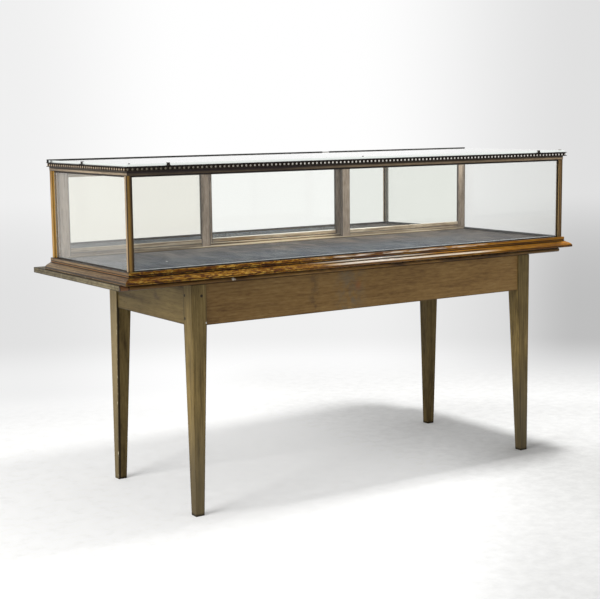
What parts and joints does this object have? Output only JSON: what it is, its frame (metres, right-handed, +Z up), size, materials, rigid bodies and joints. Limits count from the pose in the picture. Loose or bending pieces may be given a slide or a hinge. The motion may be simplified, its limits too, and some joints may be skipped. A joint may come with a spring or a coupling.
{
  "type": "collectors display table",
  "caption": "Long glazed showcase with a beaded top edge and sliding mirror doors at the rear, standing on a wooden side table with tapered legs.",
  "frame": {"origin": "on the floor, under the middle of the object's box", "axes": "+X to the right as seen from the front, along the length; +Y to the rear, where the doors are; +Z up"},
  "size_m": [1.884, 0.6816, 1.129],
  "materials": {
    "table_wood": "old grey-brown wood, worn matt varnish",
    "apron_wood": "brown stained wood, satin",
    "oak": "golden oak with flame grain, satin varnish",
    "beading": "dark brown gloss varnish",
    "door_wood": "grey-brown wood, matt",
    "panel_wood": "plain thin board, unfinished",
    "clip_metal": "dark bronzed sheet metal",
    "glass": "clear window glass",
    "mirror": "silvered glass, slightly aged",
    "cloth": "blue-grey felt"
  },
  "bodies": {
    "root": {"table_top": "table_wood", "front_nosing": "apron_wood", "leg_front_left": "table_wood", "leg_front_right": "table_wood", "leg_rear_left": "table_wood", "leg_rear_right": "table_wood", "apron_front": "apron_wood", "apron_right": "table_wood", "apron_rear": "table_wood", "apron_left": "table_wood", "corner_block_front_left": "table_wood", "corner_block_front_right": "table_wood", "corner_block_rear_left": "table_wood", "corner_block_rear_right": "table_wood", "base_rail_front": "oak", "base_rail_left": "oak", "base_rail_right": "oak", "base_rail_rear": "oak", "bottom_board": "panel_wood", "display_cloth": "cloth", "post_front_left": "oak", "post_front_right": "oak", "post_rear_left": "oak", "post_rear_right": "oak", "head_rail_front": "oak", "head_rail_left": "oak", "head_rail_right": "oak", "head_rail_rear": "oak", "bead_strip_front": "beading", "bead_strip_left": "beading", "bead_strip_right": "beading", "glass_front": "glass", "glass_left": "glass", "glass_right": "glass", "glass_top": "glass", "clip_front_left": "clip_metal", "clip_front_right": "clip_metal", "clip_left": "clip_metal", "clip_right": "clip_metal", "clip_rear": "clip_metal", "track_lower": "oak", "track_upper": "oak"},
    "door_left": {"door_left_stile_left": "door_wood", "door_left_stile_right": "door_wood", "door_left_rail_bottom": "door_wood", "door_left_rail_top": "door_wood", "door_left_mirror": "mirror", "door_left_back": "panel_wood"},
    "door_middle": {"door_middle_stile_left": "door_wood", "door_middle_stile_right": "door_wood", "door_middle_rail_bottom": "door_wood", "door_middle_rail_top": "door_wood", "door_middle_mirror": "mirror", "door_middle_back": "panel_wood"},
    "door_right": {"door_right_stile_left": "door_wood", "door_right_stile_right": "door_wood", "door_right_rail_bottom": "door_wood", "door_right_rail_top": "door_wood", "door_right_mirror": "mirror", "door_right_back": "panel_wood"}
  },
  "joints": [
    {"name": "door_left_slide", "type": "slide", "parent": "root", "child": "door_left", "axis": [1, 0, 0], "range_m": [0, 0.29]},
    {"name": "door_middle_slide", "type": "slide", "parent": "root", "child": "door_middle", "axis": [1, 0, 0], "range_m": [-0.56, 0.6]},
    {"name": "door_right_slide", "type": "slide", "parent": "root", "child": "door_right", "axis": [-1, 0, 0], "range_m": [0, 0.29]}
  ]
}
